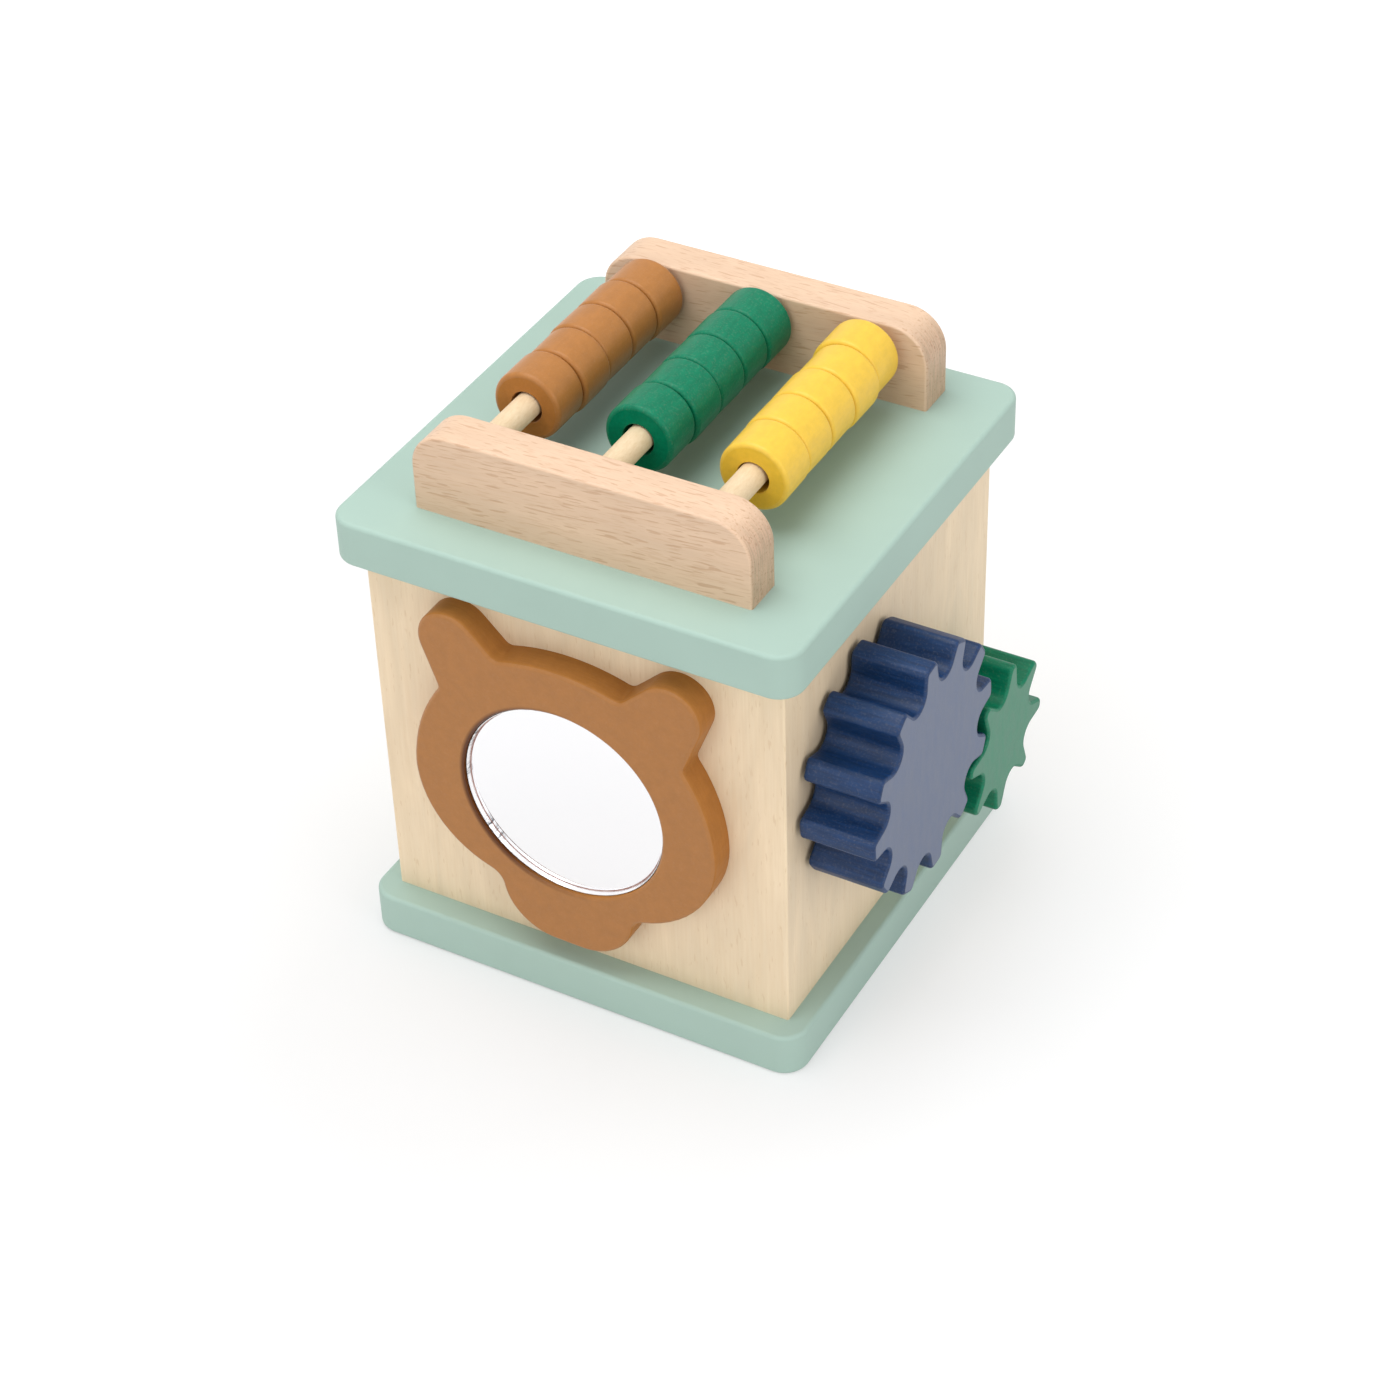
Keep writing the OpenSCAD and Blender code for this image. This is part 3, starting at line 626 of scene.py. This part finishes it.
def studio_floor():
    """Pale studio paper: it looks white to the camera and in reflections, keeps soft shadows near
    the cube, with a painted shadow close in front of it, and fades to plain white farther out."""
    material, tree, place = blank("studio_paper")
    far = add(tree, "ShaderNodeVectorMath", {"operation": "LENGTH"}, Vector=place)
    fade = add(tree, "ShaderNodeMapRange",
               Value=far, From_Min=0.25, From_Max=0.6, To_Min=0.49, To_Max=0.9)
    # Painted shadow: the paper is drawn a little darker close in front of the cube
    ahead = add(tree, "ShaderNodeVectorMath", {"operation": "DISTANCE"},
                Vector=place, Vector_001=(-0.03, -0.10, 0.0))
    shade = add(tree, "ShaderNodeMapRange",
                Value=ahead, From_Min=0.05, From_Max=0.16, To_Min=-0.10, To_Max=0.0)
    level = add(tree, "ShaderNodeMath", {"operation": "ADD"}, Value=fade, Value_001=shade)
    path = add(tree, "ShaderNodeLightPath")
    seen = add(tree, "ShaderNodeMath", {"operation": "MAXIMUM"},
               Value=path.outputs["Is Camera Ray"], Value_001=path.outputs["Is Glossy Ray"])
    paper = add(tree, "ShaderNodeMix", BLEND, Factor_Float=seen,
                A_Color=rgba(linear("#ECECEC")), B_Color=rgba(linear("#B4B4B4")))
    matt = add(tree, "ShaderNodeBsdfDiffuse", Color=paper)
    lift = add(tree, "ShaderNodeMath", MULTIPLY, Value=seen, Value_001=level)
    glow = add(tree, "ShaderNodeEmission", Color=WHITE, Strength=lift)
    both = add(tree, "ShaderNodeAddShader", Shader=matt, Shader_001=glow)
    add(tree, "ShaderNodeOutputMaterial", Surface=both)
    return material


def studio_world():
    """Even white surroundings: white to the camera, in reflections and through clear pieces, and
    dimmer where they light the cube."""
    world = bpy.data.worlds.new("studio")
    world.use_nodes = True
    tree = world.node_tree
    tree.nodes.clear()
    path = add(tree, "ShaderNodeLightPath")
    seen = add(tree, "ShaderNodeMath", {"operation": "MAXIMUM"},
               Value=path.outputs["Is Camera Ray"], Value_001=path.outputs["Is Glossy Ray"])
    seen = add(tree, "ShaderNodeMath", {"operation": "MAXIMUM"},
               Value=seen, Value_001=path.outputs["Is Transmission Ray"])
    level = add(tree, "ShaderNodeMapRange", Value=seen, To_Min=0.63, To_Max=1.0)
    sky = add(tree, "ShaderNodeBackground", Color=WHITE, Strength=level)
    add(tree, "ShaderNodeOutputWorld", Surface=sky)
    return world


# The finishes made so far, by name
_made = {}


def material(name):
    """Makes each finish once, when the first piece asks for it."""
    tones = bpy.context.scene.cube_colours
    plain = {
        "mint": lambda: sprayed_lacquer(tones.mint),
        "birch": lambda: sanded_birch(tones.birch),
        "beech": lambda: planed_beech(tones.beech),
        "dowel": lambda: birch_dowel(tones.dowel),
        "silver": silvered_acrylic,
        "acrylic": cut_acrylic_edge,
        "glue": glue_line,
        "steel": zinc_plated_steel,
    }
    if name not in _made and name in plain:
        _made[name] = plain[name]()
    elif name not in _made:
        finish = dict(STAINS[name])
        stain, paler = finish.pop("tone")
        _made[name] = stained_wood(name, shaded(getattr(tones, stain), paler), **finish)
    return _made[name]


# ---------------------------------------------------------------- the pieces


class CUBE_OT_boards(Operator):
    """Top and base board: square, with round upright corners and rounded long edges"""

    bl_idname = "cube.boards"
    bl_label = "Boards"

    def execute(self, context):
        sizes = context.scene.cube_sizes
        for name in ("base_board", "top_board"):
            piece, low, high = block(name)
            edit(piece)
            pick_edges(piece, lambda e, m, d: abs(d.z) > ALONG)
            bevel(sizes.board_corner, segments=14)
            pick_edges(piece, lambda e, m, d: abs(d.z) < 1 - ALONG and sharp(e, BLOCK_BEND))
            bevel(sizes.board_edge, segments=4)
            finish_piece(piece)
            dress(piece, material("mint"), "cube", name)
        return {"FINISHED"}


class CUBE_OT_body(Operator):
    """Birch panels and what is inside them: posts, dowels, screws and the axles' inner ends"""

    bl_idname = "cube.body"
    bl_label = "Body"

    def execute(self, context):
        dress_nodes(material("birch"), "front_panel", "right_panel", "back_panel", "left_panel")
        inner = [n for n in NODES if n.endswith(("_axle", "_washer", "_collar", "_stem"))]
        dress_nodes(material("dowel"), "corner_posts", "top_dowels", "bracket_dowels", *inner)
        dress_nodes(material("steel"), "base_screws")
        return {"FINISHED"}


class CUBE_OT_brackets(Operator):
    """Two beech brackets with round upper corners and sanded edges, and the rods between them"""

    bl_idname = "cube.brackets"
    bl_label = "Brackets and rods"

    def execute(self, context):
        sizes = context.scene.cube_sizes
        for name in ("front_bracket", "rear_bracket"):
            piece, low, high = block(name)
            half_way = (low.z + high.z) / 2
            edit(piece)
            pick_edges(piece, lambda e, m, d: abs(d.y) > ALONG and m.z > half_way)
            bevel(sizes.bracket_corner, segments=16)
            pick_edges(piece, lambda e, m, d: sharp(e, BLOCK_BEND) and m.z > low.z + ON_FACE)
            bevel(sizes.bracket_edge, segments=4)
            finish_piece(piece)
            dress(piece, material("beech"), "cube", name)
        dress_nodes(material("dowel"), "rod_left", "rod_middle", "rod_right")
        return {"FINISHED"}


class CUBE_OT_beads(Operator):
    """Turned wooden beads: one is modelled and copied along the three rods"""

    bl_idname = "cube.beads"
    bl_label = "Beads"

    def execute(self, context):
        sizes = context.scene.cube_sizes
        low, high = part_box("bead_brown_1")
        outer, long = (high.z - low.z) / 2, high.y - low.y
        bore, rim, bore_edge = sizes.bead_bore, sizes.bead_rim, 0.0003
        outline = rounded(
            [(bore, 0), (outer, 0), (outer, long), (bore, long)],
            [bore_edge, rim, rim, bore_edge])
        first = turned("bead", outline, Vector((0, 0, 0)), (0, 1, 0), sizes.steps)
        finish_piece(first)
        # Each bead is turned on by this angle in radians, so that no facet lines up
        next_turn = 1.3
        for row, slot in ROWS.items():
            for i in range(1, BEADS_IN_ROW + 1):
                name = "bead_%s_%d" % (row, i)
                low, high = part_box(name)
                piece = first.copy()
                piece.data = first.data.copy()
                piece.name = piece.data.name = name.replace("_", "-")
                context.scene.collection.objects.link(piece)
                centred = Matrix.Translation((0, -long / 2, 0))
                turn = Matrix.Rotation(next_turn * i, 4, "Y") @ centred
                # Each bead hangs loose on its rod: a little askew, to one side and up. The yellow
                # row is one bead ahead of the others, so that it doesn't repeat them side by side
                ahead = int(row == "yellow")
                pitch, yaw, aside, up = HANGS[(i + ahead) % len(HANGS)]
                askew = Euler((math.radians(pitch), 0, math.radians(yaw))).to_matrix().to_4x4()
                hung = Matrix.Translation((low + high) / 2 + Vector((aside, 0, up)))
                piece.data.transform(hung @ askew @ turn)
                dress(piece, material(row), "%s_bead_%d" % (row, i), name)
                dress_part(piece, material(row + " end"), lambda normal: abs(normal.y) > FLAT)
        bpy.data.objects.remove(first)
        return {"FINISHED"}


class CUBE_OT_mirror(Operator):
    """Bear-head frame with rounded front edges, and the round acrylic mirror in its recess"""

    bl_idname = "cube.mirror"
    bl_label = "Mirror"

    def execute(self, context):
        sizes = context.scene.cube_sizes
        low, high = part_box("mirror_frame")
        glass_low, glass_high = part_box("mirror_disc")
        middle = (glass_low + glass_high) / 2
        radius = (glass_high.x - glass_low.x) / 2
        centre = Vector((middle.x, 0, middle.z))
        self.frame(sizes, high.y, low.y, glass_high.y, centre, radius)
        self.disc(sizes, glass_low.y, glass_high.y, centre, radius)
        return {"FINISHED"}

    def frame(self, sizes, wall, face, bottom, centre, radius):
        """The bear head from the wall to its face, with a recess for the mirror."""
        hole, inside = radius + 0.0002, 0.002
        piece = section("mirror_frame", (0, wall - inside, 0), (0, -1, 0))
        thicken(piece, "bear-head-frame", (0, inside, 0), (0, face - wall, 0))
        pick_edges(piece, lambda e, m, d: sharp(e, CURVE_BEND) and m.y < face + ON_FACE)
        bevel(sizes.frame_edge, segments=5)
        deselect()
        bpy.ops.mesh.primitive_cylinder_add(
            vertices=128, radius=hole, depth=2 * (bottom - face),
            rotation=(math.radians(90), 0, 0), location=(centre.x, face, centre.z))
        cut(piece, start("recess"))
        edit(piece)
        pick_edges(piece, lambda e, m, d: (
            sharp(e, CURVE_BEND) and m.y < face + ON_FACE
            and (m.xz - centre.xz).length < hole + 10 * ON_FACE))
        bevel(sizes.hole_edge, segments=5)
        finish_piece(piece)
        dress(piece, material("bear"), "cube", "mirror_frame")
        # The flank has its own finish as far as the middle of the rounded edges
        halfway_round = -0.6
        dress_part(piece, material("bear flank"), lambda normal: normal.y > halfway_round)

    def disc(self, sizes, front, back, centre, radius):
        """The clear sheet is drawn as a bright rim round the deeper silvering, its brightness
        painted light, with a thin line of glue where they meet."""
        floor = front + sizes.mirror_rim
        lip, foot, silvered = radius - 0.0002, radius - 0.0004, radius - 0.0008
        outline = [(0, back), (radius, back), (radius, front), (lip, front),
                   (foot, floor), (silvered, floor), (0, floor)]
        piece = turned("mirror", outline, centre, (0, 1, 0), steps=96)
        finish_piece(piece)
        dress(piece, material("silver"), "cube", "mirror_disc")
        piece.data.materials.append(material("acrylic"))
        piece.data.materials.append(material("glue"))
        silver, acrylic, glue = range(3)
        points = piece.data.vertices
        for polygon in piece.data.polygons:
            polygon.material_index = acrylic
            if polygon.normal.y < -FLAT and polygon.center.y > floor - ON_FACE:
                reach = min((points[k].co.xz - centre.xz).length for k in polygon.vertices)
                polygon.material_index = glue if reach > radius / 2 else silver


class CUBE_OT_gears(Operator):
    """Two meshed gears with rounded teeth, cut from thick board"""

    bl_idname = "cube.gears"
    bl_label = "Gears"

    def execute(self, context):
        for name, stain in (("large_gear", "navy"), ("small_gear", "green")):
            low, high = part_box(name)
            middle, thick = (low.x + high.x) / 2, high.x - low.x
            piece = section(name, (middle, 0, 0), (1, 0, 0))
            thicken(piece, name.replace("_", "-"), (low.x - middle, 0, 0), (thick, 0, 0))
            pick_edges(piece, lambda e, m, d: sharp(e, CURVE_BEND))
            bevel(context.scene.cube_sizes.gear_edge, segments=4)
            finish_piece(piece)
            dress(piece, material(stain + " flank"), name + "_set", name)
            # The flat faces take the face finish; the navy one's paler tone is painted sheen
            dress_part(piece, material(stain + " face"), lambda normal: normal.x > FLAT)
        return {"FINISHED"}


class CUBE_OT_knob(Operator):
    """Turned knob that slides along its slot on the left side"""

    bl_idname = "cube.knob"
    bl_label = "Sliding knob"

    def execute(self, context):
        sizes = context.scene.cube_sizes
        low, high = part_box("sliding_knob")
        middle = (low + high) / 2
        radius, thick, foot_edge = (high.z - low.z) / 2, high.x - low.x, 0.0012
        outline = rounded(
            [(0, 0), (radius, 0), (radius, thick), (0, thick)],
            [0, foot_edge, sizes.knob_rim, 0], steps=8)
        foot = Vector((high.x, middle.y, middle.z))
        piece = turned("knob", outline, foot, (-1, 0, 0), sizes.steps)
        finish_piece(piece)
        dress(piece, material("navy flank"), "knob_set", "sliding_knob")
        return {"FINISHED"}


class CUBE_OT_wheel(Operator):
    """Scalloped wheel that turns on the back"""

    bl_idname = "cube.wheel"
    bl_label = "Turning wheel"

    def execute(self, context):
        low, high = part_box("turning_wheel")
        middle, thick = (low.y + high.y) / 2, high.y - low.y
        piece = section("turning_wheel", (0, middle, 0), (0, 1, 0))
        thicken(piece, "scalloped-wheel", (0, low.y - middle, 0), (0, thick, 0))
        pick_edges(piece, lambda e, m, d: sharp(e, CURVE_BEND))
        bevel(context.scene.cube_sizes.gear_edge, segments=4)
        finish_piece(piece)
        dress(piece, material("yellow"), "wheel_set", "turning_wheel")
        return {"FINISHED"}


class CUBE_OT_stage(Operator):
    """Pale floor, soft lamps and the camera"""

    bl_idname = "cube.stage"
    bl_label = "Stage"

    def execute(self, context):
        deselect()
        bpy.ops.mesh.primitive_plane_add(size=6, location=(0, 0, 0))
        floor = start("floor")
        floor.data.materials.append(studio_floor())
        context.scene.world = studio_world()

        lamp_side, aim = 0.9, Vector((0, 0, 0.08))
        for name, place, power in (
            ("lamp-top", (-0.2, -0.1, 1.2), 9.0),
            ("lamp-front", (-0.1, -1.3, 0.75), 3.8),
            ("lamp-right", (1.3, -0.3, 0.7), 5.1),
        ):
            bpy.ops.object.light_add(type="AREA", location=place)
            lamp = bpy.context.object
            lamp.name = name
            lamp.data.shape = "SQUARE"
            lamp.data.size = lamp_side
            lamp.data.energy = power
            lamp.rotation_euler = (Vector(place) - aim).to_track_quat("Z", "Y").to_euler()

        # The view of the photograph: where the camera aims, how it is turned round that point,
        # how far away it is and its lens
        target = Vector((0.0123, -0.0159, 0.0800))
        azimuth, elevation, roll = (math.radians(a) for a in (30.04, 38.60, -1.94))
        distance, lens, sensor = 0.9934, 84.93, 36
        back = Vector((
            math.sin(azimuth) * math.cos(elevation),
            -math.cos(azimuth) * math.cos(elevation),
            math.sin(elevation),
        ))
        right = (-back).cross(Vector((0, 0, 1))).normalized()
        over = right.cross(-back)
        image_x = math.cos(roll) * right + math.sin(roll) * over
        image_y = -math.sin(roll) * right + math.cos(roll) * over
        bpy.ops.object.camera_add()
        camera = bpy.context.object
        camera.name = "camera"
        turn = Matrix((image_x, image_y, back)).transposed().to_4x4()
        camera.matrix_world = Matrix.Translation(target + back * distance) @ turn
        camera.data.lens = lens
        camera.data.sensor_width = sensor
        context.scene.camera = camera
        context.scene.view_settings.view_transform = "Standard"
        return {"FINISHED"}


class CUBE_PT_panel(Panel):
    """Lists the pieces, sizes and colours of the activity cube"""

    bl_idname = "CUBE_PT_panel"
    bl_label = "Activity cube"
    bl_space_type = "VIEW_3D"
    bl_region_type = "UI"
    bl_category = "Activity cube"

    def draw(self, context):
        layout = self.layout
        for operator in OPERATORS:
            layout.operator(operator.bl_idname)
        for group in (context.scene.cube_sizes, context.scene.cube_colours):
            box = layout.box()
            for name in group.__annotations__:
                box.prop(group, name)


OPERATORS = (
    CUBE_OT_boards,
    CUBE_OT_body,
    CUBE_OT_brackets,
    CUBE_OT_beads,
    CUBE_OT_mirror,
    CUBE_OT_gears,
    CUBE_OT_knob,
    CUBE_OT_wheel,
    CUBE_OT_stage,
)
CLASSES = (CubeSizes, CubeColours, *OPERATORS, CUBE_PT_panel)


def register():
    for cls in CLASSES:
        bpy.utils.register_class(cls)
    bpy.types.Scene.cube_sizes = PointerProperty(type=CubeSizes)
    bpy.types.Scene.cube_colours = PointerProperty(type=CubeColours)


def unregister():
    del bpy.types.Scene.cube_colours
    del bpy.types.Scene.cube_sizes
    for cls in reversed(CLASSES):
        bpy.utils.unregister_class(cls)


def main():
    register()
    deselect()
    for operator in OPERATORS:
        group, name = operator.bl_idname.split(".")
        getattr(getattr(bpy.ops, group), name)()
    deselect()


if __name__ == "__main__":
    main()
